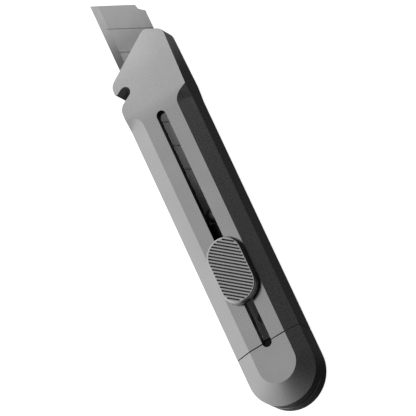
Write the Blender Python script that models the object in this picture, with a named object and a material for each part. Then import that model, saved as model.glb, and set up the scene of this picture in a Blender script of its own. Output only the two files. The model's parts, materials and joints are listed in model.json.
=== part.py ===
"""Snap-off utility knife: metal body, sliding 18 mm blade, thumb button and pull-off tail cap.

The knife lies on its back. +X points to the blade's tip, +Y to its cutting edge and +Z out of
the face with the thumb button. Every outline is drawn in stations, which are distances from the
tail end along the knife, and the parent empties carry the stations to their place in the frame.
"""
from math import atan2, cos, pi, radians, sin, sqrt, tan

import bmesh
import bpy
from mathutils import Vector

MM = 0.001

# Frame: the origin is on the back face, this far from the tail end.
ORIGIN_STATION = 75.0 * MM

# Body envelope.
BODY_WIDTH = 26.0 * MM
BODY_THICK = 12.8 * MM
WALL = 3.5 * MM
SIDE_WALL = 2.8 * MM
GAP = 0.3 * MM

# How far a cutter passes the surface it cuts.
OVER = 1.0 * MM

# The flat face is bordered by a shallow chamfer of constant slope on both sides of the body.
FACE_HALF = 7.35 * MM
CHAMFER_SLOPE = 0.2566
CHAMFER_END_STATION = 125.6 * MM
CHAMFER_END_ANGLE = radians(57.0)
CHAMFER_END_RADIUS = 6.3 * MM
BODY_CHAMFER_REACH = 6.2 * MM
CAP_CHAMFER_REACH = 9.5 * MM

# Head: it thins towards the mouth on both sides and is cut off by two slanted edges.
# Each face turns into its slope over a short blend; the back starts later and slopes less.
WEDGE_STATION = {1: 121.8 * MM, -1: 124.3 * MM}
WEDGE_SLOPE = {1: 0.12, -1: 0.073}
WEDGE_BLEND = 3.0 * MM
HEAD_RADIUS = 4.0 * MM
NOSE_RADIUS = 2.5 * MM
NOSE_EDGE_POINT = (150.32 * MM, -9.37 * MM)
NOSE_EDGE_ANGLE = radians(60.0)
RAKE_EDGE_POINT = (144.85 * MM, 4.39 * MM)
RAKE_EDGE_ANGLE = radians(125.0)
HOOK_TIP_RADIUS = 0.8 * MM
HEAD_FAR = 160.0 * MM

# Cord-cutting notch, whose inner end lets the blade's edge show.
NOTCH_CENTRE = (133.75 * MM, 9.1 * MM)
NOTCH_RADIUS = 2.1 * MM
NOTCH_ANGLE = radians(120.0)

# Slot that the thumb button's stem runs in.
SLOT_HALF = 1.79 * MM
SLOT_START = 21.9 * MM
SLOT_END = 119.9 * MM

# Tail cap: round in plan, with a slit for snapping segments off.
SEAM_STATION = 23.8 * MM
TAIL_FACE_CENTRE = 15.3 * MM
TAIL_FACE_REACH = {1: FACE_HALF, -1: 10.6 * MM}
CAP_POCKET_START = 12.0 * MM
SNAP_SLIT_DEPTH = 7.0 * MM
SNAP_SLIT_HALF = 9.8 * MM
SNAP_SLIT_HEIGHT = 0.9 * MM

# Disc magnets on both sides of the seam, in the back wall.
MAGNET_Y = {"left": 5.0 * MM, "right": -5.0 * MM}
MAGNET_RADIUS = 0.9 * MM
MAGNET_NEAR = 0.4 * MM
MAGNET_FAR = 2.7 * MM

# Hollow inside the body.
CAVITY_HALF = BODY_WIDTH / 2 - SIDE_WALL
CAVITY_END = 122.5 * MM
NOSE_POCKET_END = 141.0 * MM
NOSE_POCKET_HALF = 4.8 * MM
NOSE_POCKET_LOW = 4.3 * MM
NOSE_POCKET_HIGH = 7.8 * MM
MOUTH_HEIGHT = 1.1 * MM
MOUTH_LOW_Y = -9.5 * MM
MOUTH_HIGH_Y = 9.3 * MM

# Blade: 18 mm snap-off blade, eight segments of 10 mm and a tang.
MID_Z = BODY_THICK / 2
BLADE_THICK = 0.5 * MM
BLADE_WIDTH = 18.0 * MM
BLADE_LENGTH = 100.0 * MM
BLADE_EDGE_Y = 8.9 * MM
BLADE_TIP_STATION = 172.1 * MM
BLADE_BEVEL = 2.9 * MM
SEGMENT_PITCH = 10.0 * MM
SEGMENT_ANGLE = radians(60.0)
SEGMENTS = 8
SCORE_DEPTH = 0.12 * MM
SCORE_HALF = 0.14 * MM
TANG_HOLE_STATION = 77.6 * MM
TANG_HOLE_RADIUS = 2.8 * MM
CORNER_CLIP = 2.6 * MM
CORNER_STEP = 2.2 * MM
CORNER_STEP_RUN = 1.9 * MM
CORNER_CLIP_RUN = 4.0 * MM
EDGE_HALF_THICK = 0.03 * MM

# Guide channel.
SHEET = 0.6 * MM
CHANNEL_START = 28.0 * MM
CHANNEL_END = 121.6 * MM
CHANNEL_HALF = CAVITY_HALF - GAP
CHANNEL_LOW = WALL + GAP
CHANNEL_HIGH = BODY_THICK - WALL - GAP
LIP_EDGE = 4.2 * MM
RACK_START = 33.0 * MM
RACK_PITCH = 5.0 * MM
RACK_TEETH = 17
RACK_NOTCH_LENGTH = 2.4 * MM
RACK_NOTCH_DEPTH = 1.3 * MM
CHANNEL_SCREW_STATIONS = {"rear": 36.0 * MM, "front": 112.0 * MM}
CHANNEL_SCREW_SHANK = 0.85 * MM
CHANNEL_SCREW_HEAD = 1.75 * MM
CHANNEL_SCREW_TIP = 1.6 * MM
DRIVE_HALF = 0.22 * MM
DRIVE_DEPTH = 0.3 * MM

# Carrier that the blade, the lock and the button's stem sit in.
CARRIER_REAR = 46.0 * MM
CARRIER_BLOCK_FRONT = 60.8 * MM
CARRIER_LAND_FRONT = 64.0 * MM
CARRIER_WIDE_FRONT = 63.9 * MM
CARRIER_NOSE_FRONT = 82.0 * MM
CARRIER_HALF = 8.7 * MM
CARRIER_NOSE_HALF = 4.3 * MM
CARRIER_LOW = 4.7 * MM
CARRIER_PLATE_TOP = 5.85 * MM
CARRIER_LAND_TOP = 6.65 * MM
CARRIER_TOP = 7.5 * MM
STEM_WELL_LOW = 5.2 * MM
HEEL_ROOM_Y = -4.4 * MM
SPRING_ROOM_LOW = 6.5 * MM
SPRING_ROOM_FRONT = 54.6 * MM
SPRING_ROOM_Y = -2.3 * MM
PEG_RADIUS = 2.5 * MM
PEG_LOW = 5.95 * MM
PEG_TOP = 7.45 * MM
PEG_DOME = 0.5 * MM

# Plate that holds the tang down, and its rivet.
CLIP_REAR = 61.1 * MM
CLIP_FRONT = 74.6 * MM
CLIP_HALF = 4.2 * MM
CLIP_CORNER = 1.5 * MM
CLIP_LOW = 6.95 * MM
CLIP_HIGH = 7.2 * MM
CLIP_RIVET_STATION = 62.6 * MM
CLIP_RIVET = {"low": 5.4 * MM, "seat": 7.3 * MM, "shank": 0.7 * MM, "head": 1.5 * MM, "rise": 0.35 * MM}

# Lock spring: leaf, tab under the stem's foot, tooth and rivets.
LEAF_LOW = 7.6 * MM
LEAF_HIGH = 7.85 * MM
LEAF_REAR = 47.0 * MM
LEAF_FRONT = 60.5 * MM
LEAF_OUTER_Y = -8.2 * MM
LEAF_INNER_Y = -4.2 * MM
TAB_REAR = 50.6 * MM
TAB_FRONT = 54.4 * MM
TAB_Y = -2.5 * MM
TOOTH_NOTCH = 3
TOOTH_Y = (-5.2 * MM, -4.4 * MM)
TOOTH_LOW = 7.7 * MM
TOOTH_HIGH = 8.85 * MM
TOOTH_ROOT_HALF = 0.9 * MM
TOOTH_TIP_HALF = 0.6 * MM
LOCK_RIVET_STATIONS = {"rear": 56.4 * MM, "front": 59.4 * MM}
LOCK_RIVET_Y = -6.3 * MM
LOCK_RIVET = {"low": 6.4 * MM, "seat": 7.95 * MM, "shank": 0.55 * MM, "head": 1.2 * MM, "rise": 0.3 * MM}

# Thumb button and its stem.
BUTTON_CENTRE = 52.8 * MM
BUTTON_STRAIGHT = 11.3 * MM
BUTTON_RADIUS = 7.35 * MM
BUTTON_TOP_RADIUS = 6.4 * MM
BUTTON_LOW = BODY_THICK + 0.65 * MM
BUTTON_HIGH = BODY_THICK + 2.75 * MM
BUTTON_EDGE_DROP = 1.5 * MM
BUTTON_EDGE_TURNS = (10, 30, 50, 68, 84)
BUTTON_LOWER_BREAK = 0.15 * MM
GROOVE_END_RADIUS = 6.15 * MM
GROOVE_PITCH = 1.11 * MM
GROOVE_WIDTH = 0.58 * MM
GROOVE_FLOOR = 0.3 * MM
GROOVE_DEPTH = 0.55 * MM
GROOVE_ANGLE = radians(50.4)
STEM_STATION = 56.0 * MM
STEM_LENGTH = 6.0 * MM
STEM_HALF = 1.45 * MM
STEM_LOW = 7.4 * MM
STEM_HIGH = 14.7 * MM
FOOT_LENGTH = 1.3 * MM
FOOT_Y = -3.7 * MM
FOOT_LOW = 8.15 * MM
FOOT_HIGH = 8.9 * MM
SHOE_RADIUS = 5.45 * MM
SHOE_THICK = 0.5 * MM
BUTTON_SCREW_SHANK = 0.65 * MM
BUTTON_SCREW_HEAD = 1.2 * MM
BUTTON_SCREW_LOW = 6.5 * MM
BUTTON_SCREW_SEAT = 7.2 * MM
COIL_WIRE = 0.14 * MM
COIL_RADIUS = 0.95 * MM
COIL_LOW = 5.45 * MM
COIL_HIGH = 6.2 * MM
COIL_TURNS = 2.5

# Tray inside the cap, and its screws.
TRAY_FRONT = 27.5 * MM
TRAY_ROOM_START = 14.2 * MM
TRAY_ROOM_HALF = 9.0 * MM
TRAY_FLOOR = 4.5 * MM
CAP_SCREW_Y = {"right": -5.5 * MM, "left": 5.5 * MM}
CAP_SCREW_SHANK = 0.9 * MM
CAP_SCREW_HEAD = 1.7 * MM
CAP_SCREW_TIP = 8.3 * MM
CAP_SCREW_SEAT = 14.4 * MM
CAP_SCREW_RIM = 14.9 * MM
CAP_SCREW_END = 15.1 * MM

# Plain finishes: colour, roughness and metallic.
ANODISED = ((0.30, 0.30, 0.31), 0.42, 1.0)
BUTTON_FINISH = ((0.36, 0.36, 0.37), 0.38, 1.0)
STEEL = ((0.55, 0.55, 0.56), 0.30, 1.0)
DARK_STEEL = ((0.10, 0.10, 0.105), 0.40, 1.0)
POLYMER = ((0.03, 0.03, 0.032), 0.55, 0.0)


# ---------------------------------------------------------------- drawing helpers

def line_meet(p, a, q, b):
    """Point where the line through p at angle a meets the line through q at angle b."""
    det = cos(a) * sin(b) - sin(a) * cos(b)
    t = ((q[0] - p[0]) * sin(b) - (q[1] - p[1]) * cos(b)) / det
    return (p[0] + t * cos(a), p[1] + t * sin(a))


def round_corner(before, corner, after, radius, steps):
    """Points of the arc that rounds one corner of an outline."""
    u = Vector((before[0] - corner[0], before[1] - corner[1])).normalized()
    v = Vector((after[0] - corner[0], after[1] - corner[1])).normalized()
    half = u.angle(v) / 2
    reach = radius / tan(half)
    centre = Vector(corner) + (u + v).normalized() * (radius / sin(half))
    start = Vector(corner) + u * reach - centre
    turn = start.angle_signed(Vector(corner) + v * reach - centre)
    first = atan2(start.y, start.x)
    points = []
    for i in range(steps + 1):
        a = first - turn * i / steps
        points.append((centre.x + radius * cos(a), centre.y + radius * sin(a)))
    return points


def rounded(corners, steps=6):
    """Outline through corners given as (x, y, radius)."""
    points = []
    count = len(corners)
    for i, (x, y, radius) in enumerate(corners):
        if radius:
            points += round_corner(corners[i - 1], (x, y), corners[(i + 1) % count], radius, steps)
        else:
            points.append((x, y))
    return points


def arc(cx, cy, radius, first, last, steps):
    """Points along an arc, both ends included."""
    angles = [first + (last - first) * i / steps for i in range(steps + 1)]
    return [(cx + radius * cos(a), cy + radius * sin(a)) for a in angles]


def stadium(centre_x, straight, radius, steps=10):
    """Long round outline along X."""
    half = straight / 2
    right = arc(centre_x + half, 0, radius, -pi / 2, pi / 2, steps)
    return right + arc(centre_x - half, 0, radius, pi / 2, 3 * pi / 2, steps)


# ---------------------------------------------------------------- mesh helpers

def new_object(name, verts, faces, parent=None):
    """Object from vertices and faces, with its faces turned outwards."""
    mesh = bpy.data.meshes.new(name)
    mesh.from_pydata([tuple(v) for v in verts], [], faces)
    work = bmesh.new()
    work.from_mesh(mesh)
    bmesh.ops.recalc_face_normals(work, faces=work.faces)
    work.to_mesh(mesh)
    work.free()
    obj = bpy.data.objects.new(name, mesh)
    bpy.context.scene.collection.objects.link(obj)
    obj.parent = parent
    return obj


def loft(name, rings, parent=None):
    """Closed solid through rings that have the same number of points."""
    count = len(rings[0])
    verts = [p for ring in rings for p in ring]
    faces = [tuple(range(count)), tuple(range((len(rings) - 1) * count, len(rings) * count))]
    for r in range(len(rings) - 1):
        for i in range(count):
            j = (i + 1) % count
            faces.append((r * count + i, r * count + j, (r + 1) * count + j, (r + 1) * count + i))
    return new_object(name, verts, faces, parent)


def prism(name, outline, low, high, parent=None):
    """Outline in X and Y, raised from low to high."""
    return loft(name, [[(x, y, z) for x, y in outline] for z in (low, high)], parent)


def prism_y(name, outline, low, high, parent=None):
    """Outline in X and Z, stretched in Y from low to high."""
    return loft(name, [[(x, y, z) for x, z in outline] for y in (low, high)], parent)


def prism_x(name, outline, low, high, parent=None):
    """Outline in Y and Z, stretched in X from low to high."""
    return loft(name, [[(x, y, z) for y, z in outline] for x in (low, high)], parent)


def box(name, low, high, parent=None):
    """Box between two opposite corners."""
    outline = [(low[0], low[1]), (high[0], low[1]), (high[0], high[1]), (low[0], high[1])]
    return prism(name, outline, low[2], high[2], parent)


def turned(name, profile, centre, axis="Z", parent=None, sides=24):
    """Solid turned from (radius, height) pairs about an axis through centre."""
    rings = []
    for radius, height in profile:
        ring = []
        for i in range(sides):
            a = 2 * pi * i / sides
            across, up = radius * cos(a), radius * sin(a)
            offset = (across, up, height) if axis == "Z" else (height, across, up)
            ring.append(tuple(c + o for c, o in zip(centre, offset)))
        rings.append(ring)
    return loft(name, rings, parent)


def combine(obj, other, operation):
    """Exact Boolean of an object with a hidden second one."""
    modifier = obj.modifiers.new(operation.lower() + "_" + other.name, "BOOLEAN")
    modifier.operation = operation
    modifier.solver = "EXACT"
    modifier.object = other
    other.parent = obj.parent
    other.hide_render = True
    other.display_type = "WIRE"


def cut(obj, *cutters):
    """Subtract cutters from an object."""
    for cutter in cutters:
        combine(obj, cutter, "DIFFERENCE")
    return obj


def finish(obj, colour, roughness, metallic, smooth=False):
    """One Principled material, and smooth shading on round pieces."""
    material = bpy.data.materials.new(obj.name + "_finish")
    material.use_nodes = True
    shader = material.node_tree.nodes["Principled BSDF"]
    shader.inputs["Base Color"].default_value = (*colour, 1.0)
    shader.inputs["Roughness"].default_value = roughness
    shader.inputs["Metallic"].default_value = metallic
    obj.data.materials.append(material)
    if smooth:
        obj.data.shade_smooth()
        obj.data.set_sharp_from_angle(angle=radians(30.0))
    return obj


# ---------------------------------------------------------------- shared cutters

def side_chamfer(name, path, reach, side, face):
    """Cutter under a slope that falls away from a path along the face's border.

    The path is drawn for the +Y side of the front face, with the outer side on its left.
    side is +1 or -1 in Y, and face is +1 for the front and -1 for the back.
    """
    head = 2 * OVER
    rings = []
    for i, (x, y) in enumerate(path):
        ahead = path[min(i + 1, len(path) - 1)]
        behind = path[max(i - 1, 0)]
        run = Vector((ahead[0] - behind[0], ahead[1] - behind[1])).normalized()
        out = Vector((run.y, -run.x))
        inner = (x - out.x * OVER, y - out.y * OVER)
        outer = (x + out.x * reach, y + out.y * reach)
        section = [(*inner, CHAMFER_SLOPE * OVER), (*outer, -CHAMFER_SLOPE * reach),
                   (*outer, head), (*inner, head)]
        ring = []
        for px, py, rise in section:
            z = MID_Z + face * (BODY_THICK / 2 + rise)
            ring.append((px, side * py, z))
        rings.append(ring)
    return loft(name, rings)


def body_chamfer_path():
    """Border of the front face on the +Y side, from the head to past the tail seam."""
    start = (CHAMFER_END_STATION, BODY_WIDTH / 2)
    corner = line_meet(start, CHAMFER_END_ANGLE, (0, FACE_HALF), 0)
    beyond = 3 * OVER
    outer = (start[0] + cos(CHAMFER_END_ANGLE) * beyond, start[1] + sin(CHAMFER_END_ANGLE) * beyond)
    end = (SEAM_STATION - 4 * OVER, FACE_HALF)
    bend = round_corner(outer, corner, end, CHAMFER_END_RADIUS, 10)
    return [outer] + bend + [end]


def cap_chamfer_path(face):
    """Border of the front (1) or back (-1) face round the tail, from +Y to -Y."""
    bend = []
    for x, y in arc(0, 0, 1, pi / 2, 3 * pi / 2, 28):
        bend.append((TAIL_FACE_CENTRE + x * TAIL_FACE_REACH[face], y * FACE_HALF))
    far = SEAM_STATION + 4 * OVER
    return [(far, FACE_HALF)] + bend + [(far, -FACE_HALF)]


def slot_cutter(name):
    """Through cut for the slot in the front wall."""
    middle = (SLOT_START + SLOT_END) / 2
    straight = SLOT_END - SLOT_START - 2 * SLOT_HALF
    outline = stadium(middle, straight, SLOT_HALF, 10)
    return prism(name, outline, BODY_THICK - WALL - OVER / 2, BODY_THICK + OVER)


# ---------------------------------------------------------------- body group

def body_outline():
    """Plan of the body: square at the seam, two slanted head edges, hook and notch."""
    half = BODY_WIDTH / 2
    seam = SEAM_STATION + GAP / 2
    low_corner = line_meet(NOSE_EDGE_POINT, NOSE_EDGE_ANGLE, (0, -half), 0)
    nose = line_meet(NOSE_EDGE_POINT, NOSE_EDGE_ANGLE, RAKE_EDGE_POINT, RAKE_EDGE_ANGLE)
    hook = line_meet(RAKE_EDGE_POINT, RAKE_EDGE_ANGLE, (0, half), 0)
    out = Vector((cos(NOTCH_ANGLE), sin(NOTCH_ANGLE)))
    across = Vector((out.y, -out.x)) * NOTCH_RADIUS
    end = Vector(NOTCH_CENTRE) - out * NOTCH_RADIUS
    tip_side = end + across
    tail_side = end - across
    hook_tip = line_meet(tip_side, NOTCH_ANGLE, (0, half), 0)
    shoulder = line_meet(tail_side, NOTCH_ANGLE, (0, half), 0)
    nearly_full = 0.999
    end_radius = NOTCH_RADIUS * nearly_full
    return rounded([
        (seam, -half, 0), (*low_corner, HEAD_RADIUS), (*nose, NOSE_RADIUS),
        (*hook, HEAD_RADIUS), (*hook_tip, HOOK_TIP_RADIUS), (tip_side.x, tip_side.y, end_radius),
        (tail_side.x, tail_side.y, end_radius), (*shoulder, HEAD_RADIUS), (seam, half, 0),
    ], steps=7)


def wedge_cutter(name, face):
    """Everything outside the head's sloping face, for the front (1) or the back (-1)."""
    slope = WEDGE_SLOPE[face]
    station = WEDGE_STATION[face]
    steps = 5
    profile = [(HEAD_FAR, OVER), (station - WEDGE_BLEND, OVER)]
    for i in range(steps + 1):
        run = 2 * WEDGE_BLEND * i / steps
        profile.append((station - WEDGE_BLEND + run, -slope * run ** 2 / (4 * WEDGE_BLEND)))
    profile.append((HEAD_FAR, -slope * (HEAD_FAR - station)))
    outline = [(x, MID_Z + face * (BODY_THICK / 2 + rise)) for x, rise in profile]
    return prism_y(name, outline, -BODY_WIDTH, BODY_WIDTH)


def upright_hole(name, station, y, low, high, radius):
    """Round vertical hole."""
    return turned(name, [(radius, low), (radius, high)], (station, y, 0), sides=16)


def lengthwise_hole(name, start, end, y, z, radius):
    """Round hole along X."""
    return turned(name, [(radius, start), (radius, end)], (0, y, z), "X", sides=16)


def magnet_holes(name, direction):
    """Holes in the back wall on one side of the seam, towards the head (1) or the tail (-1)."""
    near = SEAM_STATION - direction * OVER
    far = SEAM_STATION + direction * (MAGNET_FAR + GAP)
    radius = MAGNET_RADIUS + GAP
    return [lengthwise_hole(name, near, far, y, WALL / 2, radius) for y in MAGNET_Y.values()]


def body_shell(frame):
    """One-piece machined body."""
    shell = prism("body_shell", body_outline(), 0, BODY_THICK, frame)
    path = body_chamfer_path()
    for side in (1, -1):
        for face in (1, -1):
            cut(shell, side_chamfer("body_chamfer", path, BODY_CHAMFER_REACH, side, face))
    for face in (1, -1):
        cut(shell, wedge_cutter("head_wedge", face))
    cavity = box("cavity", (SEAM_STATION - OVER, -CAVITY_HALF, WALL),
                 (CAVITY_END, CAVITY_HALF, BODY_THICK - WALL))
    pocket = box("nose_pocket", (CAVITY_END - OVER, -NOSE_POCKET_HALF, NOSE_POCKET_LOW),
                 (NOSE_POCKET_END, NOSE_POCKET_HALF, NOSE_POCKET_HIGH))
    mouth = box("mouth", (CAVITY_END - OVER, MOUTH_LOW_Y, MID_Z - MOUTH_HEIGHT / 2),
                (HEAD_FAR, MOUTH_HIGH_Y, MID_Z + MOUTH_HEIGHT / 2))
    cut(shell, cavity, pocket, mouth, slot_cutter("body_slot"))
    low, high = CHANNEL_SCREW_TIP - GAP, WALL + OVER / 2
    for station in CHANNEL_SCREW_STATIONS.values():
        cut(shell, upright_hole("shell_screw_hole", station, 0, low, high, CHANNEL_SCREW_SHANK + GAP))
    cut(shell, *magnet_holes("shell_magnet_hole", 1))
    return finish(shell, *ANODISED)


def guide_channel(frame):
    """Folded sheet channel with lips, one of them cut into a rack for the lock spring."""
    low, high, half = CHANNEL_LOW, CHANNEL_HIGH, CHANNEL_HALF
    profile = [(-half, low), (half, low), (half, high), (LIP_EDGE, high),
               (LIP_EDGE, high - SHEET), (half - SHEET, high - SHEET), (half - SHEET, low + SHEET),
               (SHEET - half, low + SHEET), (SHEET - half, high - SHEET),
               (-LIP_EDGE, high - SHEET), (-LIP_EDGE, high), (-half, high)]
    channel = prism_x("guide_channel", profile, CHANNEL_START, CHANNEL_END, frame)
    for i in range(RACK_TEETH):
        start = RACK_START + i * RACK_PITCH
        notch = box("rack_notch", (start, -LIP_EDGE - RACK_NOTCH_DEPTH, high - OVER),
                    (start + RACK_NOTCH_LENGTH, OVER - LIP_EDGE, high + OVER))
        cut(channel, notch)
    shank, head = CHANNEL_SCREW_SHANK + GAP, CHANNEL_SCREW_HEAD + GAP
    sink = [(shank, low - GAP), (shank, low), (head, low + SHEET), (head, low + OVER)]
    for station in CHANNEL_SCREW_STATIONS.values():
        cut(channel, turned("channel_sink", sink, (station, 0, 0), sides=16))
    return finish(channel, *STEEL)


def channel_screw(name, station, frame):
    """Countersunk screw from the channel's floor into the back wall."""
    top = CHANNEL_LOW + SHEET
    land = 0.05 * MM
    profile = [(CHANNEL_SCREW_SHANK, CHANNEL_SCREW_TIP), (CHANNEL_SCREW_SHANK, CHANNEL_LOW + land),
               (CHANNEL_SCREW_HEAD, top - land), (CHANNEL_SCREW_HEAD, top)]
    screw = turned(name, profile, (station, 0, 0), parent=frame, sides=16)
    reach = CHANNEL_SCREW_HEAD * 0.75
    drive = box(name + "_drive", (station - reach, -DRIVE_HALF, top - DRIVE_DEPTH),
                (station + reach, DRIVE_HALF, top + OVER))
    cut(screw, drive)
    return finish(screw, *DARK_STEEL, smooth=True)


def magnet(name, direction, y, frame):
    """Disc magnet in the end of the back wall, towards the head (1) or the tail (-1)."""
    ends = (SEAM_STATION + direction * MAGNET_NEAR, SEAM_STATION + direction * MAGNET_FAR)
    profile = [(MAGNET_RADIUS, min(ends)), (MAGNET_RADIUS, max(ends))]
    return finish(turned(name, profile, (0, y, WALL / 2), "X", frame, 16), *STEEL, smooth=True)


# ---------------------------------------------------------------- slider group

def rivet_hole(name, station, y, sizes):
    """Hole that leaves a gap round a rivet's shank."""
    return upright_hole(name, station, y, sizes["low"] - GAP, sizes["seat"] + OVER, sizes["shank"] + GAP)


def stem_room(name, low, high):
    """Room round the button's stem."""
    reach, side = STEM_LENGTH / 2 + GAP, STEM_HALF + GAP
    return box(name, (STEM_STATION - reach, -side, low), (STEM_STATION + reach, side, high))


def carrier_holes():
    """Cutters for everything that sits in the carrier."""
    top, side = CARRIER_TOP + OVER, CARRIER_HALF + OVER
    holes = []
    for y0, y1 in ((CARRIER_NOSE_HALF, side), (-side, -CARRIER_NOSE_HALF)):
        holes.append(box("nose_side", (CARRIER_WIDE_FRONT, y0, 0), (CARRIER_NOSE_FRONT + OVER, y1, top)))
    holes.append(box("blade_heel_room", (CARRIER_BLOCK_FRONT, -side, CARRIER_PLATE_TOP),
                     (CARRIER_LAND_FRONT + OVER, HEEL_ROOM_Y, top)))
    holes.append(box("spring_room", (CARRIER_REAR - OVER, -side, SPRING_ROOM_LOW),
                     (SPRING_ROOM_FRONT, SPRING_ROOM_Y, top)))
    holes.append(stem_room("stem_well", STEM_WELL_LOW, top))
    for station in LOCK_RIVET_STATIONS.values():
        holes.append(rivet_hole("carrier_lock_hole", station, LOCK_RIVET_Y, LOCK_RIVET))
    holes.append(rivet_hole("carrier_clip_hole", CLIP_RIVET_STATION, 0, CLIP_RIVET))
    return holes


def blade_carrier(frame):
    """Slider block: plate under the blade's tang and a raised block behind it."""
    profile = [(CARRIER_REAR, CARRIER_LOW), (CARRIER_NOSE_FRONT, CARRIER_LOW),
               (CARRIER_NOSE_FRONT, CARRIER_PLATE_TOP), (CARRIER_LAND_FRONT, CARRIER_PLATE_TOP),
               (CARRIER_LAND_FRONT, CARRIER_LAND_TOP), (CARRIER_BLOCK_FRONT, CARRIER_LAND_TOP),
               (CARRIER_BLOCK_FRONT, CARRIER_TOP), (CARRIER_REAR, CARRIER_TOP)]
    carrier = prism_y("blade_carrier", profile, -CARRIER_HALF, CARRIER_HALF, frame)
    cut(carrier, *carrier_holes())
    return finish(carrier, *DARK_STEEL)


def blade_peg(frame):
    """Round peg through the blade's tang hole, with a domed top."""
    profile = [(PEG_RADIUS, PEG_LOW)]
    for turn in (0, 30, 55, 75):
        a = radians(turn)
        profile.append((PEG_RADIUS * cos(a), PEG_TOP - (1 - sin(a)) * PEG_DOME))
    peg = turned("blade_peg", profile, (TANG_HOLE_STATION, 0, 0), parent=frame)
    return finish(peg, *STEEL, smooth=True)


def blade_outline():
    """Plan of the blade: slanted ends, with the spine corner of the tip clipped."""
    slant = 1 / tan(SEGMENT_ANGLE)
    spine = BLADE_EDGE_Y - BLADE_WIDTH
    tip = BLADE_TIP_STATION
    heel = tip - BLADE_LENGTH
    clip_y = spine + CORNER_CLIP
    clip_x = tip - (BLADE_EDGE_Y - clip_y) * slant
    step_y = spine + CORNER_STEP
    return [(tip, BLADE_EDGE_Y), (heel, BLADE_EDGE_Y), (heel - BLADE_WIDTH * slant, spine),
            (clip_x - CORNER_CLIP_RUN, spine), (clip_x - CORNER_STEP_RUN, step_y), (clip_x, clip_y)]


def edge_bevel(name, face):
    """Cutter that grinds one side of the cutting edge."""
    half = BLADE_THICK / 2
    slope = (half - EDGE_HALF_THICK) / BLADE_BEVEL
    profile = [(BLADE_EDGE_Y - BLADE_BEVEL - OVER, half + slope * OVER),
               (BLADE_EDGE_Y + OVER, EDGE_HALF_THICK - slope * OVER),
               (BLADE_EDGE_Y + OVER, half + slope * OVER)]
    outline = [(y, MID_Z + face * rise) for y, rise in profile]
    return prism_x(name, outline, BLADE_TIP_STATION - 2 * BLADE_LENGTH, BLADE_TIP_STATION + OVER)


def score_line(index):
    """V-shaped groove across the front of the blade where a segment snaps off."""
    station = BLADE_TIP_STATION - index * SEGMENT_PITCH
    top = MID_Z + BLADE_THICK / 2
    along = Vector((cos(SEGMENT_ANGLE), sin(SEGMENT_ANGLE)))
    across = Vector((along.y, -along.x))
    rings = []
    for reach in (OVER, -(BLADE_WIDTH / sin(SEGMENT_ANGLE) + OVER)):
        centre = Vector((station, BLADE_EDGE_Y)) + along * reach
        wide = SCORE_HALF * 2
        left = centre - across * wide
        right = centre + across * wide
        rings.append([(centre.x, centre.y, top - SCORE_DEPTH), (right.x, right.y, top + SCORE_DEPTH),
                      (left.x, left.y, top + SCORE_DEPTH)])
    return loft("score_line", rings)


def blade(frame):
    """Snap-off blade."""
    steel = prism("blade", blade_outline(), MID_Z - BLADE_THICK / 2, MID_Z + BLADE_THICK / 2, frame)
    cut(steel, edge_bevel("edge_front", 1), edge_bevel("edge_back", -1))
    bore = [(TANG_HOLE_RADIUS, 0), (TANG_HOLE_RADIUS, BODY_THICK)]
    cut(steel, turned("tang_hole", bore, (TANG_HOLE_STATION, 0, 0), sides=28))
    for index in range(1, SEGMENTS):
        cut(steel, score_line(index))
    return finish(steel, *STEEL)


def blade_clip(frame):
    """Thin spring plate that holds the tang down on its peg."""
    outline = rounded([(CLIP_REAR, -CLIP_HALF, 0), (CLIP_FRONT, -CLIP_HALF, CLIP_CORNER),
                       (CLIP_FRONT, CLIP_HALF, CLIP_CORNER), (CLIP_REAR, CLIP_HALF, 0)], 4)
    clip = prism("blade_clip", outline, CLIP_LOW, CLIP_HIGH, frame)
    cut(clip, rivet_hole("clip_hole", CLIP_RIVET_STATION, 0, CLIP_RIVET))
    return finish(clip, *STEEL)


def rivet(name, station, y, sizes, frame):
    """Round-headed rivet."""
    head, seat, rise = sizes["head"], sizes["seat"], sizes["rise"]
    profile = [(sizes["shank"], sizes["low"]), (sizes["shank"], seat), (head, seat),
               (head * 0.95, seat + rise * 0.5), (head * 0.55, seat + rise)]
    return finish(turned(name, profile, (station, y, 0), parent=frame, sides=16), *STEEL, smooth=True)


def lock_spring(frame):
    """Leaf spring whose tooth stands in the rack on the channel's lip."""
    outline = [(LEAF_REAR, LEAF_OUTER_Y), (LEAF_FRONT, LEAF_OUTER_Y), (LEAF_FRONT, LEAF_INNER_Y),
               (TAB_FRONT, LEAF_INNER_Y), (TAB_FRONT, TAB_Y), (TAB_REAR, TAB_Y),
               (TAB_REAR, LEAF_INNER_Y), (LEAF_REAR, LEAF_INNER_Y)]
    leaf = prism("lock_spring", outline, LEAF_LOW, LEAF_HIGH, frame)
    middle = RACK_START + TOOTH_NOTCH * RACK_PITCH + RACK_NOTCH_LENGTH / 2
    section = [(middle - TOOTH_ROOT_HALF, TOOTH_LOW), (middle + TOOTH_ROOT_HALF, TOOTH_LOW),
               (middle + TOOTH_TIP_HALF, TOOTH_HIGH), (middle - TOOTH_TIP_HALF, TOOTH_HIGH)]
    combine(leaf, prism_y("lock_tooth", section, *TOOTH_Y), "UNION")
    for station in LOCK_RIVET_STATIONS.values():
        cut(leaf, rivet_hole("leaf_hole", station, LOCK_RIVET_Y, LOCK_RIVET))
    return finish(leaf, *STEEL)


# ---------------------------------------------------------------- button group

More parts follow.
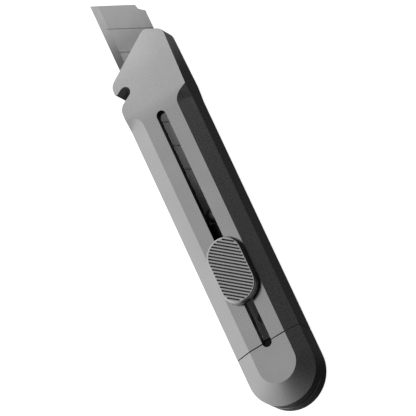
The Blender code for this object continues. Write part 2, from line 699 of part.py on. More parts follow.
def groove_ends(offset):
    """Where a groove's line crosses the border that the grooves stop at, as lengths along it."""
    along = Vector((cos(GROOVE_ANGLE), sin(GROOVE_ANGLE)))
    foot = Vector((-along.y, along.x)) * offset
    half = BUTTON_STRAIGHT / 2
    crossings = []
    for side in (-1, 1):
        reach = (side * GROOVE_END_RADIUS - foot.y) / along.y
        if abs(foot.x + along.x * reach) <= half:
            crossings.append(reach)
        start = foot - Vector((side * half, 0))
        middle = start.dot(along)
        square = middle ** 2 - start.length_squared + GROOVE_END_RADIUS ** 2
        if square > 0:
            for reach in (-middle - sqrt(square), -middle + sqrt(square)):
                if side * (foot.x + along.x * reach) > half:
                    crossings.append(reach)
    return min(crossings), max(crossings)


def groove(name, offset):
    """Groove with sloping walls across the button's top that stops short of its border."""
    along = Vector((cos(GROOVE_ANGLE), sin(GROOVE_ANGLE)))
    across = Vector((-along.y, along.x))
    centre = Vector((BUTTON_CENTRE, 0)) + across * offset
    top_half = GROOVE_WIDTH / 2
    floor_half = GROOVE_FLOOR / 2
    lift = OVER / 2
    slope = (top_half - floor_half) / GROOVE_DEPTH
    section = [(-floor_half, -GROOVE_DEPTH), (floor_half, -GROOVE_DEPTH),
               (top_half + slope * lift, lift), (-top_half - slope * lift, lift)]
    rings = []
    for reach in groove_ends(offset):
        end = centre + along * reach
        rings.append([tuple(end + across * side) + (BUTTON_HIGH + rise,) for side, rise in section])
    return loft(name, rings)


def thumb_button(frame):
    """Oval thumb button with drafted sides and diagonal grooves."""
    edge = BUTTON_RADIUS - BUTTON_TOP_RADIUS
    rim = BUTTON_LOWER_BREAK
    levels = [(BUTTON_RADIUS - rim, BUTTON_LOW), (BUTTON_RADIUS, BUTTON_LOW + rim)]
    for turn in BUTTON_EDGE_TURNS:
        a = radians(turn)
        levels.append((BUTTON_TOP_RADIUS + edge * cos(a), BUTTON_HIGH - BUTTON_EDGE_DROP * (1 - sin(a))))
    levels.append((BUTTON_TOP_RADIUS, BUTTON_HIGH))
    rings = []
    for radius, z in levels:
        rings.append([(x, y, z) for x, y in stadium(BUTTON_CENTRE, BUTTON_STRAIGHT, radius, 16)])
    button = loft("thumb_button", rings, frame)
    span = BUTTON_STRAIGHT / 2 * sin(GROOVE_ANGLE) + GROOVE_END_RADIUS
    count = int((span - GROOVE_WIDTH / 2) / GROOVE_PITCH)
    for i in range(-count, count + 1):
        cut(button, groove("button_groove", i * GROOVE_PITCH))
    room = stadium(BUTTON_CENTRE, BUTTON_STRAIGHT, SHOE_RADIUS + GAP, 10)
    cut(button, prism("shoe_room", room, BUTTON_LOW - OVER, BUTTON_LOW + SHOE_THICK + GAP))
    cut(button, stem_room("stem_socket", BUTTON_LOW, STEM_HIGH + GAP / 3))
    return finish(button, *BUTTON_FINISH)


def glide_shoe(frame):
    """Low-friction pad set into the button's underside, with an opening for the stem."""
    outline = stadium(BUTTON_CENTRE, BUTTON_STRAIGHT, SHOE_RADIUS, 8)
    shoe = prism("glide_shoe", outline, BUTTON_LOW, BUTTON_LOW + SHOE_THICK, frame)
    cut(shoe, stem_room("shoe_hole", BODY_THICK, BUTTON_HIGH))
    return finish(shoe, *POLYMER)


def button_stem(frame):
    """Flat stem through the slot, with a foot on one side that presses the lock spring."""
    rear, front = STEM_STATION - STEM_LENGTH / 2, STEM_STATION + STEM_LENGTH / 2
    stem = box("button_stem", (rear, -STEM_HALF, STEM_LOW), (front, STEM_HALF, STEM_HIGH), frame)
    foot = box("stem_foot", (rear, FOOT_Y, FOOT_LOW), (rear + FOOT_LENGTH, 0, FOOT_HIGH))
    combine(stem, foot, "UNION")
    radius = BUTTON_SCREW_SHANK + GAP
    cut(stem, upright_hole("stem_bore", STEM_STATION, 0, STEM_LOW - OVER, STEM_HIGH + OVER, radius))
    return finish(stem, *DARK_STEEL)


def button_screw(frame):
    """Screw from below that holds the stem to the button."""
    profile = [(BUTTON_SCREW_HEAD, BUTTON_SCREW_LOW), (BUTTON_SCREW_HEAD, BUTTON_SCREW_SEAT),
               (BUTTON_SCREW_SHANK, BUTTON_SCREW_SEAT), (BUTTON_SCREW_SHANK, STEM_HIGH - GAP / 3)]
    screw = turned("button_screw", profile, (STEM_STATION, 0, 0), parent=frame, sides=16)
    return finish(screw, *STEEL, smooth=True)


def button_spring(frame, steps=40, sides=6):
    """Small compression spring under the screw head, in the carrier's well."""
    rings = []
    for i in range(steps + 1):
        a = 2 * pi * COIL_TURNS * i / steps
        z = COIL_LOW + (COIL_HIGH - COIL_LOW) * i / steps
        out = Vector((cos(a), sin(a), 0))
        centre = Vector((STEM_STATION, 0, z)) + out * COIL_RADIUS
        ring = []
        for k in range(sides):
            b = 2 * pi * k / sides
            ring.append(centre + out * COIL_WIRE * cos(b) + Vector((0, 0, COIL_WIRE * sin(b))))
        rings.append(ring)
    return finish(loft("button_spring", rings, frame), *STEEL, smooth=True)


# ---------------------------------------------------------------- tail cap group

def tail_cap(frame):
    """Round-ended cap that closes the tail and carries the slot's end and the snapping slit."""
    half = BODY_WIDTH / 2
    seam = SEAM_STATION - GAP / 2
    outline = [(seam, half)] + arc(half, 0, half, pi / 2, 3 * pi / 2, 48) + [(seam, -half)]
    cap = prism("tail_cap", outline, 0, BODY_THICK, frame)
    for face in (1, -1):
        cut(cap, side_chamfer("cap_chamfer", cap_chamfer_path(face), CAP_CHAMFER_REACH, -1, face))
    pocket = box("cap_pocket", (CAP_POCKET_START, -CAVITY_HALF, WALL),
                 (SEAM_STATION + OVER, CAVITY_HALF, BODY_THICK - WALL))
    slit = box("snap_slit", (-OVER, -SNAP_SLIT_HALF, MID_Z - SNAP_SLIT_HEIGHT / 2),
               (SNAP_SLIT_DEPTH, SNAP_SLIT_HALF, MID_Z + SNAP_SLIT_HEIGHT / 2))
    cut(cap, pocket, slit, slot_cutter("cap_slot"))
    low, high = CAP_SCREW_TIP - GAP, CAP_POCKET_START + OVER
    for y in CAP_SCREW_Y.values():
        cut(cap, lengthwise_hole("cap_screw_hole", low, high, y, MID_Z, CAP_SCREW_SHANK + GAP))
    cut(cap, *magnet_holes("cap_magnet_hole", -1))
    return finish(cap, *ANODISED, smooth=True)


def cap_insert(frame):
    """Moulded tray screwed into the cap; its rim plugs into the body's tail."""
    tray = box("cap_insert", (CAP_POCKET_START + GAP, -CHANNEL_HALF, CHANNEL_LOW),
               (TRAY_FRONT, CHANNEL_HALF, CHANNEL_HIGH), frame)
    room = box("tray_room", (TRAY_ROOM_START, -TRAY_ROOM_HALF, TRAY_FLOOR),
               (TRAY_FRONT + OVER, TRAY_ROOM_HALF, CHANNEL_HIGH + OVER))
    cut(tray, room)
    low, high = CAP_POCKET_START - OVER, TRAY_ROOM_START + OVER
    for y in CAP_SCREW_Y.values():
        cut(tray, lengthwise_hole("tray_hole", low, high, y, MID_Z, CAP_SCREW_SHANK + GAP))
    return finish(tray, *POLYMER)


def cap_screw(name, y, frame):
    """Screw through the tray's end wall into the cap."""
    crown = CAP_SCREW_HEAD * 0.7
    profile = [(CAP_SCREW_SHANK, CAP_SCREW_TIP), (CAP_SCREW_SHANK, CAP_SCREW_SEAT),
               (CAP_SCREW_HEAD, CAP_SCREW_SEAT), (CAP_SCREW_HEAD, CAP_SCREW_RIM), (crown, CAP_SCREW_END)]
    screw = turned(name, profile, (0, y, MID_Z), "X", frame, 16)
    reach = CAP_SCREW_HEAD * 0.6
    drive = box(name + "_drive", (CAP_SCREW_END - DRIVE_DEPTH, y - reach, MID_Z - DRIVE_HALF),
                (CAP_SCREW_END + OVER, y + reach, MID_Z + DRIVE_HALF))
    cut(screw, drive)
    return finish(screw, *DARK_STEEL, smooth=True)


# ---------------------------------------------------------------- assembly

def group(name):
    """Empty that carries stations into the frame."""
    empty = bpy.data.objects.new(name, None)
    bpy.context.scene.collection.objects.link(empty)
    empty.location = (-ORIGIN_STATION, 0, 0)
    return empty


def main():
    for obj in list(bpy.data.objects):
        bpy.data.objects.remove(obj, do_unlink=True)

    body = group("body_group")
    body_shell(body)
    guide_channel(body)
    for end, station in CHANNEL_SCREW_STATIONS.items():
        channel_screw("channel_screw_" + end, station, body)
    for side, y in MAGNET_Y.items():
        magnet("body_magnet_" + side, 1, y, body)

    slider = group("slider_group")
    blade_carrier(slider)
    blade_peg(slider)
    blade(slider)
    blade_clip(slider)
    rivet("clip_rivet", CLIP_RIVET_STATION, 0, CLIP_RIVET, slider)
    lock_spring(slider)
    for end, station in LOCK_RIVET_STATIONS.items():
        rivet("spring_rivet_" + end, station, LOCK_RIVET_Y, LOCK_RIVET, slider)

    button = group("button_group")
    thumb_button(button)
    glide_shoe(button)
    button_stem(button)
    button_screw(button)
    button_spring(button)

    tail = group("tail_group")
    tail_cap(tail)
    cap_insert(tail)
    for side, y in CAP_SCREW_Y.items():
        cap_screw("cap_screw_" + side, y, tail)
    for side, y in MAGNET_Y.items():
        magnet("cap_magnet_" + side, -1, y, tail)
    bpy.context.view_layer.update()


main()
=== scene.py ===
import json
from math import atan2, cos, pi, radians, sin

import bmesh
import bpy
from mathutils import Matrix, Vector


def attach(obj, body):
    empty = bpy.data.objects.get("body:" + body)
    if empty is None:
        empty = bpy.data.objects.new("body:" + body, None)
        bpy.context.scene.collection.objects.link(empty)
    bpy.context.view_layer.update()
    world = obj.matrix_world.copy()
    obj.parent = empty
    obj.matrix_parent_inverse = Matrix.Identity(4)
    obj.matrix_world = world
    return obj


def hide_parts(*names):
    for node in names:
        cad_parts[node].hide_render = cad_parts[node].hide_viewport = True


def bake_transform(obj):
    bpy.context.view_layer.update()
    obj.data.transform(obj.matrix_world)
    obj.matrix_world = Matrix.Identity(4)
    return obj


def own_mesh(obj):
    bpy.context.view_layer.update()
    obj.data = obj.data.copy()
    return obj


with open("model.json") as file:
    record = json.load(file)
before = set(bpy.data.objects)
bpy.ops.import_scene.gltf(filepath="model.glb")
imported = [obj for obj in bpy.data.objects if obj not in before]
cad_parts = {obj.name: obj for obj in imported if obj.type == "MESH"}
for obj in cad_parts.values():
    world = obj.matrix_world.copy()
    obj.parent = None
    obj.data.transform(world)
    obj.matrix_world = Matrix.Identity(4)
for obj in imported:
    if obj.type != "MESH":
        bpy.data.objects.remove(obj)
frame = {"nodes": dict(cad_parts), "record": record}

scene = bpy.context.scene
MM = 0.001
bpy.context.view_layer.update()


# ---------------------------------------------------------------- finishes

# The part of a noise texture's range that colours and roughness are spread over.
NOISE_LOW, NOISE_HIGH = 0.3, 0.7

# Slow changes of tone and fine grain, in cells to the metre, and the height of the grain in metres.
BLASTED_CLOUDS, BLASTED_GRAIN, BLASTED_HEIGHT = 90.0, 6500.0, 0.00001
NICKEL_GRAIN = 2500.0
STEEL_CLOUDS, SCRATCHES_ALONG, SCRATCHES_ACROSS, SCRATCH_HEIGHT = 120.0, 60.0, 5200.0, 0.000004
DARK_CLOUDS, DARK_GRAIN, DARK_HEIGHT = 260.0, 3000.0, 0.00001
PAPER_FIBRES = 400.0


class Finish:
    """One material's node tree, with short helpers for wiring it."""

    def __init__(self, name):
        self.material = bpy.data.materials.new(name)
        self.material.use_nodes = True
        self.nodes = self.material.node_tree.nodes
        self.links = self.material.node_tree.links
        self.shader = self.nodes["Principled BSDF"]
        self.place = self.nodes.new("ShaderNodeTexCoord").outputs["Object"]

    def set(self, name, value):
        """A value that is the same all over the surface."""
        self.shader.inputs[name].default_value = value

    def stretched(self, scale, turn):
        """Object coordinates, turned about Z and then scaled."""
        mapping = self.nodes.new("ShaderNodeMapping")
        mapping.inputs["Rotation"].default_value = (0, 0, turn)
        mapping.inputs["Scale"].default_value = scale
        self.links.new(self.place, mapping.inputs["Vector"])
        return mapping.outputs["Vector"]

    def noise(self, scale, detail=2.0, rough=0.5, place=None):
        node = self.nodes.new("ShaderNodeTexNoise")
        node.inputs["Scale"].default_value = scale
        node.inputs["Detail"].default_value = detail
        node.inputs["Roughness"].default_value = rough
        self.links.new(place or self.place, node.inputs["Vector"])
        return node.outputs["Fac"]

    def ramp(self, factor, low, high, start=NOISE_LOW, end=NOISE_HIGH):
        """Map Range from start..end to low..high."""
        node = self.nodes.new("ShaderNodeMapRange")
        node.inputs["From Min"].default_value = start
        node.inputs["From Max"].default_value = end
        node.inputs["To Min"].default_value = low
        node.inputs["To Max"].default_value = high
        self.links.new(factor, node.inputs["Value"])
        return node.outputs["Result"]

    def stops(self, factor, stops):
        """Grey ramp with (place, value) stops."""
        node = self.nodes.new("ShaderNodeValToRGB")
        fill_ramp(node.color_ramp, stops)
        self.links.new(factor, node.inputs["Fac"])
        return node.outputs["Color"]

    def uneven(self, factor, low, high):
        """Grey that follows a noise texture."""
        return self.stops(factor, [(NOISE_LOW, low), (NOISE_HIGH, high)])

    def bump(self, height, strength, distance):
        node = self.nodes.new("ShaderNodeBump")
        node.inputs["Strength"].default_value = strength
        node.inputs["Distance"].default_value = distance
        self.links.new(height, node.inputs["Height"])
        self.links.new(node.outputs["Normal"], self.shader.inputs["Normal"])

    def paint(self, tone, rough):
        """Wire up the base colour and the roughness."""
        self.links.new(tone, self.shader.inputs["Base Color"])
        self.links.new(rough, self.shader.inputs["Roughness"])


def fill_ramp(ramp, stops):
    """Grey stops of a colour ramp."""
    while len(ramp.elements) < len(stops):
        ramp.elements.new(1.0)
    for element, (place, value) in zip(ramp.elements, stops):
        element.position = place
        element.color = (value, value, value, 1)


def blasted_metal(name, base, rough, grain=BLASTED_GRAIN):
    """Bead-blasted and anodised metal, or a dark copy of it as painted shade: fine even grain and
    slow changes of tone.
    """
    finish = Finish(name)
    finish.set("Metallic", 1.0)
    slow = finish.noise(BLASTED_CLOUDS, 3.0)
    fine = finish.noise(grain, 2.0, 0.6)
    finish.paint(finish.uneven(slow, base * 0.97, base * 1.03),
                 finish.ramp(fine, rough - 0.03, rough + 0.03))
    finish.bump(fine, 0.25, BLASTED_HEIGHT)
    return finish.material


def ground_steel(name, tones, rough, turn):
    """Ground steel: long fine scratches in one direction.

    tones is one tone, or (X in mm, tone) pairs along the blade, which paint shade along it.
    """
    finish = Finish(name)
    finish.set("Metallic", 1.0)
    stretch = finish.stretched((SCRATCHES_ALONG, SCRATCHES_ACROSS, SCRATCHES_ACROSS), turn)
    lines = finish.noise(1.0, 3.0, 0.6, stretch)
    slow = finish.noise(STEEL_CLOUDS)
    if isinstance(tones, float):
        tone = finish.uneven(slow, tones * 0.95, tones * 1.04)
    else:
        tone = toned_along(finish, tones, finish.uneven(slow, 0.95, 1.0))
    finish.paint(tone, finish.ramp(lines, rough - 0.05, rough + 0.07))
    finish.bump(lines, 0.3, SCRATCH_HEIGHT)
    return finish.material


def toned_along(finish, tones, uneven):
    """Tone that changes along X, times a slow unevenness."""
    split = finish.nodes.new("ShaderNodeSeparateXYZ")
    finish.links.new(finish.place, split.inputs["Vector"])
    first, last = tones[0][0], tones[-1][0]
    share = finish.ramp(split.outputs["X"], 0.0, 1.0, first * MM, last * MM)
    mix = finish.nodes.new("ShaderNodeMix")
    mix.data_type = "RGBA"
    mix.blend_type = "MULTIPLY"
    mix.inputs["Factor"].default_value = 1.0
    along = finish.stops(share, [((x - first) / (last - first), value) for x, value in tones])
    finish.links.new(along, mix.inputs["A"])
    finish.links.new(uneven, mix.inputs["B"])
    return mix.outputs["Result"]


def dark_finish(name, base, rough, metallic=1.0):
    """Blackened steel, black polymer, or dark painted shade; slightly uneven."""
    finish = Finish(name)
    finish.set("Metallic", metallic)
    slow = finish.noise(DARK_CLOUDS, 4.0)
    fine = finish.noise(DARK_GRAIN, 3.0)
    finish.paint(finish.uneven(slow, base * 0.8, base * 1.25),
                 finish.ramp(fine, rough - 0.06, rough + 0.08))
    finish.bump(fine, 0.3, DARK_HEIGHT)
    return finish.material


# Tones by X in mm: the blade's flat and its cutting edge, darkening towards the tang as painted
# shade.
# They are fitted to the photograph, where the tang lies deep in the slot. A real blade is evenly
# bright.
BLADE_TONE_AND_PAINTED_SHADE = ((-5, 0.05), (5, 0.065), (10, 0.088), (17, 0.165), (25, 0.22), (36, 0.26), (77, 0.31),
               (83, 0.40), (90, 0.46), (97, 0.47))
EDGE_TONE_AND_PAINTED_SHADE = ((-5, 0.13), (60, 0.13), (73, 0.15), (77, 0.225), (81, 0.33), (86, 0.45), (91, 0.49),
              (97, 0.48))

ANODISED = blasted_metal("anodised_grey", 0.50, 0.28)
ANODISED_EDGE = blasted_metal("anodised_grey_edge", 0.58, 0.30)
BUTTON = blasted_metal("anodised_button_grey", 0.55, 0.28)
# Painted shade: a dark copy of the button's finish, for inside its grooves.
GROOVE_PAINTED_SHADE = blasted_metal("button_groove_painted_shade", 0.10, 0.40)
BLADE = ground_steel("blade_steel", BLADE_TONE_AND_PAINTED_SHADE, 0.50, radians(90))
BLADE_EDGE = ground_steel("blade_edge_steel", EDGE_TONE_AND_PAINTED_SHADE, 0.45, radians(90))
SPRING = ground_steel("spring_steel", 0.42, 0.30, 0.0)
BLUED = ground_steel("blued_spring_steel", 0.05, 0.35, 0.0)
FASTENER = dark_finish("fastener_black", 0.12, 0.35)
NICKEL = blasted_metal("magnet_nickel", 0.62, 0.22, NICKEL_GRAIN)
OXIDE = dark_finish("oxide_black", 0.09, 0.42)
# Painted shade for the walls of the long slot and the hollow behind it.
SLOT_PAINTED_SHADE = dark_finish("long_slot_painted_shade", 0.10, 0.45)
POLYMER = dark_finish("polymer_black", 0.02, 0.5, metallic=0.0)

SLOT_FINISH = {
    "anodised_body": ANODISED, "anodised_button": BUTTON, "blade_steel": BLADE,
    "spring_steel": SPRING, "fastener_steel": FASTENER, "magnet": NICKEL,
    "dark_metal": OXIDE, "black_polymer": POLYMER,
}

# Nodes whose finish differs from that of their material slot.
NODE_FINISH = {"blade_clip": BLUED, "clip_rivet": BLUED}

for entry in frame["record"]["subparts"]:
    mesh = frame["nodes"][entry["node"]].data
    mesh.materials.clear()
    mesh.materials.append(NODE_FINISH.get(entry["node"], SLOT_FINISH[entry["material_slot"]]))


# ---------------------------------------------------------------- finer pieces

# Points closer than this are one, and faces flatter than this to each other are one.
WELD = 0.002 * MM
FLAT = radians(0.6)

# Faces meet in a real edge from this turn on. A plane ends in one much sooner, where a plane is a
# face that is nearly level and leans to neither side.
EDGE_TURN = radians(28)
PLANE_EDGE_TURN = radians(3)
BLADE_EDGE_TURN = radians(2)
PLANE_LEVEL = 0.98
PLANE_LEAN = 0.001

# Broken edges of the body and the cap, and the steps that round them.
BODY_EDGE = 0.09 * MM
CAP_EDGE = 0.1 * MM
EDGE_SEGMENTS = 2

# How much more the large faces count than the small ones in the shading, where 50 is even.
NORMAL_WEIGHT = 80

# Long slot and the hollow behind it, which get painted shade: half widths, heights, and the
# upward share of a face's direction that tells the level faces from the walls.
SLOT_WALL_HALF, SLOT_WALL_LOW = 1.95 * MM, 9.0 * MM
HOLLOW_HALF, HOLLOW_LOW, HOLLOW_HIGH = 10.3 * MM, 3.4 * MM, 9.4 * MM
LEVEL_FROM = 0.5

# Grooves of the button, which get painted shade: how far they reach from the straight line
# between the middles of its round ends, and how far below its top the middles of their faces lie.
GROOVE_REACH = 6.6 * MM
GROOVE_DEPTHS = (0.05 * MM, 0.6 * MM)

# Width of the blade's ground cutting edge, with a little room, and how level its faces lie.
CUTTING_EDGE_WIDTH = 2.95 * MM
CUTTING_EDGE_LEVEL = 0.9


def clean_copy(name, node, merge=True):
    """Copy of a CAD node with its seams welded and, where asked, its flat faces merged."""
    mesh = frame["nodes"][node].data.copy()
    mesh.name = name
    work = bmesh.new()
    work.from_mesh(mesh)
    bmesh.ops.remove_doubles(work, verts=work.verts, dist=WELD)
    if merge:
        bmesh.ops.dissolve_limit(work, angle_limit=FLAT, verts=work.verts, edges=work.edges)
    work.to_mesh(mesh)
    work.free()
    obj = bpy.data.objects.new(name, mesh)
    scene.collection.objects.link(obj)
    return obj


def mark_edges(mesh, angle):
    """Shade smoothly except over real edges and where a plane ends."""
    work = bmesh.new()
    work.from_mesh(mesh)
    for face in work.faces:
        face.smooth = True
    for edge in work.edges:
        turn = edge.calc_face_angle(pi)
        plane = any(abs(face.normal.y) < PLANE_LEAN and abs(face.normal.z) > PLANE_LEVEL
                    for face in edge.link_faces)
        edge.smooth = turn < angle and not (plane and turn > PLANE_EDGE_TURN)
    work.to_mesh(mesh)
    work.free()


def set_finishes(obj, finishes):
    obj.data.materials.clear()
    for finish in finishes:
        obj.data.materials.append(finish)


def soften(obj, width, finishes):
    """Real edges kept crisp or, with a width, rounded and given the last finish."""
    set_finishes(obj, finishes)
    mark_edges(obj.data, EDGE_TURN)
    if width:
        bevel = obj.modifiers.new("edge_break", "BEVEL")
        bevel.width = width
        bevel.segments = EDGE_SEGMENTS
        bevel.limit_method = "ANGLE"
        bevel.angle_limit = EDGE_TURN
        bevel.use_clamp_overlap = False
        bevel.material = len(finishes) - 1
    even = obj.modifiers.new("even_normals", "WEIGHTED_NORMAL")
    even.keep_sharp = True
    even.weight = NORMAL_WEIGHT
    return obj


def stand_in(name, node, body, width, finishes, merge=True):
    """Softened copy that stands for a CAD node and rides on its body."""
    obj = soften(clean_copy(name, node, merge), width, finishes)
    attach(obj, body)
    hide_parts(node)
    return obj


def darken_slot(obj):
    """Painted shade, in the second slot, on the walls of the long slot and all behind them."""
    for face in obj.data.polygons:
        y, z = face.center.yz
        wall = abs(face.normal.z) < LEVEL_FROM and abs(y) < SLOT_WALL_HALF and z > SLOT_WALL_LOW
        inside = all(abs(obj.data.vertices[i].co.y) < HOLLOW_HALF for i in face.vertices)
        hollow = inside and HOLLOW_LOW < z < HOLLOW_HIGH and abs(face.normal.z) > LEVEL_FROM
        face.material_index = 1 if wall or hollow else 0


def darken_grooves(obj):
    """Painted shade, in the second slot, inside the grooves of the button's top."""
    spots = [v.co for v in obj.data.vertices]
    left, right = min(p.x for p in spots), max(p.x for p in spots)
    near, far = min(p.y for p in spots), max(p.y for p in spots)
    top = max(p.z for p in spots)
    half = (right - left - (far - near)) / 2
    shallow, deep = GROOVE_DEPTHS
    for face in obj.data.polygons:
        inside = shallow < top - face.center.z < deep
        for i in face.vertices:
            x = abs(spots[i].x - (left + right) / 2)
            inside = inside and Vector((max(x - half, 0), spots[i].y)).length < GROOVE_REACH
        face.material_index = 1 if inside else 0


def blade_fine():
    """Blade with a separately ground cutting edge."""
    obj = clean_copy("blade_fine", "blade")
    mark_edges(obj.data, BLADE_EDGE_TURN)
    set_finishes(obj, [BLADE, BLADE_EDGE])
    edge_line = max(v.co.y for v in obj.data.vertices) - CUTTING_EDGE_WIDTH
    for face in obj.data.polygons:
        inside = all(obj.data.vertices[i].co.y > edge_line for i in face.vertices)
        face.material_index = 1 if inside and abs(face.normal.z) > CUTTING_EDGE_LEVEL else 0
    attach(obj, "slider")
    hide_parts("blade")


darken_slot(stand_in("body_shell_fine", "body_shell", "body", BODY_EDGE,
                     [ANODISED, SLOT_PAINTED_SHADE, ANODISED_EDGE]))
stand_in("tail_cap_fine", "tail_cap", "cap", CAP_EDGE, [ANODISED, ANODISED_EDGE])
darken_grooves(stand_in("thumb_button_fine", "thumb_button", "button", 0.0,
                        [BUTTON, GROOVE_PAINTED_SHADE], merge=False))
blade_fine()


# ---------------------------------------------------------------- springs under the button

# The X range over which the leaf is cut across, and the number of steps it is cut in.
LEAF_BEND = (-20.5 * MM, -19.3 * MM)
LEAF_STEPS = 5


def button_spring_fine():
    """Copy of the coil that rides on the button, with a mesh of its own."""
    obj = stand_in("button_spring_fine", "button_spring", "button", 0.0, [SPRING],
                   merge=False)
    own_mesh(obj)


def lock_spring_fine():
    """Leaf held by its rivets in front, cut across in steps over LEAF_BEND and left where it is."""
    obj = clean_copy("lock_spring_fine", "lock_spring", merge=False)
    rear, front = LEAF_BEND
    work = bmesh.new()
    work.from_mesh(obj.data)
    for i in range(LEAF_STEPS + 1):
        x = rear + (front - rear) * i / LEAF_STEPS
        bmesh.ops.bisect_plane(work, geom=work.verts[:] + work.edges[:] + work.faces[:],
                               plane_co=(x, 0, 0), plane_no=(1, 0, 0))
    work.to_mesh(obj.data)
    work.free()
    soften(obj, 0.0, [SPRING])
    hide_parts("lock_spring")
    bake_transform(obj)


button_spring_fine()
lock_spring_fine()


# ---------------------------------------------------------------- floor

FLOOR_HALF = 6.0
FLOOR_GLOW = 0.95
FLOOR_TONES = (0.90, 0.93)


def floor():
    """Plain pale floor, bright enough to keep shadows faint."""
    mesh = bpy.data.meshes.new("floor")
    half = FLOOR_HALF
    corners = [(-half, -half, 0), (half, -half, 0), (half, half, 0), (-half, half, 0)]
    mesh.from_pydata(corners, [], [(0, 1, 2, 3)])
    obj = bpy.data.objects.new("floor", mesh)
    scene.collection.objects.link(obj)
    finish = Finish("floor_paper")
    finish.set("Roughness", 0.9)
    finish.set("Emission Strength", FLOOR_GLOW)
    finish.set("Emission Color", (1, 1, 1, 1))
    finish.set("Specular IOR Level", 0.1)
    fibres = finish.noise(PAPER_FIBRES, 3.0)
    finish.links.new(finish.uneven(fibres, *FLOOR_TONES), finish.shader.inputs["Base Color"])
    mesh.materials.append(finish.material)
    obj.visible_glossy = False
    obj.visible_diffuse = False


# ---------------------------------------------------------------- surround

# Direction of the bright side, and how bright the surround is by how far a direction leans to it.
# The levels are fitted to the tones of the photograph.
KEY_SIDE = (0.45, 0.893, 0.0)
KEY_STRENGTH = 1.05
KEY_LEVELS = ((-0.46, 0.012), (-0.066, 0.032), (0.03, 0.003), (0.11, 0.022), (0.20, 0.23),
              (0.41, 0.62), (0.50, 0.58), (0.59, 0.79), (0.72, 0.86))

# The same for directions that point steeply down, with the Z range where one passes into the other.
UNDER_LEVELS = ((-0.46, 0.012), (-0.066, 0.032), (0.066, 0.028), (0.30, 0.08), (0.72, 0.20))
UNDER_REACH = (-0.35, -0.70)

# Fill wall: its direction, the leans to it where it starts and is full, and the same for its foot.
FILL_SIDE = (-0.82, -0.57, 0.0)
FILL_REACH = (0.50, 0.85)
FILL_RISE = (0.0, 0.15)
FILL_LEVEL = 0.20


def surround():
    """Studio surround that is bright on one side, with a low fill wall behind the camera."""
    world = bpy.data.worlds.new("surround")
    scene.world = world
    world.use_nodes = True
    nodes, links = world.node_tree.nodes, world.node_tree.links
    place = nodes.new("ShaderNodeTexCoord").outputs["Generated"]
    height = nodes.new("ShaderNodeSeparateXYZ")
    links.new(place, height.inputs["Vector"])

    def lean(direction):
        """How far the looked-at direction leans to the given one."""
        node = nodes.new("ShaderNodeVectorMath")
        node.operation = "DOT_PRODUCT"
        node.inputs[1].default_value = direction
        links.new(place, node.inputs[0])
        return node.outputs["Value"]

    def spread(value, reach, level=1.0, kind="LINEAR"):
        """0 at the start of the reach, and the level at its end."""
        node = nodes.new("ShaderNodeMapRange")
        node.interpolation_type = kind
        node.inputs["From Min"].default_value, node.inputs["From Max"].default_value = reach
        node.inputs["To Max"].default_value = level
        links.new(value, node.inputs["Value"])
        return node.outputs["Result"]

    first, last = KEY_LEVELS[0][0], KEY_LEVELS[-1][0]
    share = spread(lean(KEY_SIDE), (first, last))
    key = nodes.new("ShaderNodeMix")
    key.data_type = "RGBA"
    links.new(spread(height.outputs["Z"], UNDER_REACH), key.inputs["Factor"])
    for levels, entry in ((KEY_LEVELS, "A"), (UNDER_LEVELS, "B")):
        ramp = nodes.new("ShaderNodeValToRGB")
        ramp.color_ramp.interpolation = "EASE"
        fill_ramp(ramp.color_ramp, [((x - first) / (last - first), level) for x, level in levels])
        links.new(share, ramp.inputs["Fac"])
        links.new(ramp.outputs["Color"], key.inputs[entry])
    links.new(key.outputs["Result"], nodes["Background"].inputs["Color"])
    nodes["Background"].inputs["Strength"].default_value = KEY_STRENGTH

    wall = nodes.new("ShaderNodeMath")
    wall.operation = "MULTIPLY"
    links.new(spread(lean(FILL_SIDE), FILL_REACH, FILL_LEVEL, "SMOOTHSTEP"), wall.inputs[0])
    links.new(spread(height.outputs["Z"], FILL_RISE, kind="SMOOTHSTEP"), wall.inputs[1])
    fill = nodes.new("ShaderNodeBackground")
    links.new(wall.outputs["Value"], fill.inputs["Strength"])
    both = nodes.new("ShaderNodeAddShader")
    links.new(nodes["Background"].outputs["Background"], both.inputs[0])
    links.new(fill.outputs["Background"], both.inputs[1])
    links.new(both.outputs["Shader"], nodes["World Output"].inputs["Surface"])
    scene.view_settings.view_transform = "Standard"


# ---------------------------------------------------------------- lamps

def placed_light(name, kind, target, direction, distance, power):
    """Light at a distance in a direction from its target in mm, and turned to it."""
    data = bpy.data.lights.new(name, kind)
    data.energy = power
    obj = bpy.data.objects.new(name, data)
    scene.collection.objects.link(obj)
    away = Vector(direction).normalized()
    obj.location = Vector(target) * MM + away * distance
    obj.rotation_euler = away.to_track_quat("Z", "Y").to_euler()
    return obj


def lamp(name, target, direction, distance, size, power):
    """Small round soft lamp."""
    obj = placed_light(name, "AREA", target, direction, distance, power)
    obj.data.shape = "DISK"
    obj.data.size = size
    obj.visible_camera = False
    return obj


def spot(name, target, direction, distance, reach, radius, power):
    """Soft-edged spot that lights a patch of the given reach."""
    obj = placed_light(name, "SPOT", target, direction, distance, power)
    obj.data.spot_size = 2 * atan2(reach, distance)
    obj.data.spot_blend = 1.0
    obj.data.shadow_soft_size = radius
    return obj


def light_only(light, receivers, blockers):
    """Let a light reach only the receivers, past everything but the blockers.

    With an empty list of blockers the other pieces still stop the light, but the floor does not.
    """
    for role, names in (("receiver", receivers), ("blocker", blockers)):
        pieces = bpy.data.collections.new(f"{light.name}_{role}s")
        for name in names:
            pieces.objects.link(frame["nodes"].get(name) or bpy.data.objects[name])
        setattr(light.light_linking, role + "_collection", pieces)


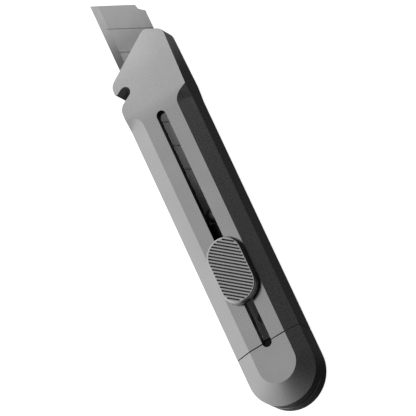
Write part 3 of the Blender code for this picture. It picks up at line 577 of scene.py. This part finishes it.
def lamps():
    """Lamps for the blade's end, the head, the slot, the body's lower edge and the cap.

    The floor lies under all pieces, so as the only blocker it lets light from above through.
    """
    lamp("tip_lamp", target=(90, 10, 6), direction=(0.66, 0.30, 0.69), distance=0.10, size=0.04,
         power=0.0045)
    lamp("side_lamp", target=(50, 0, 6), direction=(0.50, -0.40, 0.77), distance=0.25, size=0.10,
         power=0.003)
    slot_spot = spot("slot_spot", target=(50, 1, 6), direction=(0.38, 0.05, 0.92), distance=1.0,
                     reach=0.055, radius=0.05, power=8.0)
    light_only(slot_spot, ["blade_fine", "blade_peg"], ["thumb_button_fine"])
    table_bounce = lamp("table_bounce", target=(70, -13, 6), direction=(0.52, -0.30, -0.80),
                        distance=0.13, size=0.05, power=0.0008)
    light_only(table_bounce, ["body_shell_fine"], [])
    tail_spot = spot("tail_spot", target=(-50, 1, 6), direction=(0.10, -0.10, 0.96), distance=1.0,
                     reach=0.07, radius=0.05, power=5.0)
    light_only(tail_spot, ["guide_channel", "cap_insert", "blade_carrier", "channel_screw_rear"],
               ["floor"])
    tail_lamp = lamp("tail_lamp", target=(-70, 0, 10), direction=(-0.08, 0.12, 0.99), distance=0.5,
                     size=0.15, power=0.003)
    light_only(tail_lamp, ["tail_cap_fine"], ["floor"])


# ---------------------------------------------------------------- camera

CAMERA_AZIMUTH, CAMERA_ELEVATION, CAMERA_ROLL = radians(-55.073), radians(62.274), radians(63.268)
CAMERA_AIM = Vector((6.116, 0.766, 6.4)) * MM
CAMERA_DISTANCE = 1.9271
CAMERA_LENS = 474.8
CAMERA_SENSOR = 36.0
CAMERA_CLIP = (0.05, 50.0)


def camera():
    """Long lens at the photograph's angle, rolled so that the blade points to the upper left."""
    level_part = cos(CAMERA_ELEVATION)
    back = Vector((sin(CAMERA_AZIMUTH) * level_part, -cos(CAMERA_AZIMUTH) * level_part,
                   sin(CAMERA_ELEVATION)))
    level = (Vector((0, 0, 1)) - back * back.z).normalized()
    side = (-back).cross(level)
    up = level * cos(CAMERA_ROLL) + side * sin(CAMERA_ROLL)
    right = (-back).cross(up)
    place = CAMERA_AIM + back * CAMERA_DISTANCE
    data = bpy.data.cameras.new("camera")
    data.lens = CAMERA_LENS
    data.sensor_width = CAMERA_SENSOR
    data.clip_start, data.clip_end = CAMERA_CLIP
    obj = bpy.data.objects.new("camera", data)
    scene.collection.objects.link(obj)
    obj.matrix_world = Matrix((
        (right.x, up.x, back.x, place.x),
        (right.y, up.y, back.y, place.y),
        (right.z, up.z, back.z, place.z),
        (0, 0, 0, 1),
    ))
    scene.camera = obj


floor()
surround()
lamps()
camera()

bpy.context.view_layer.update()
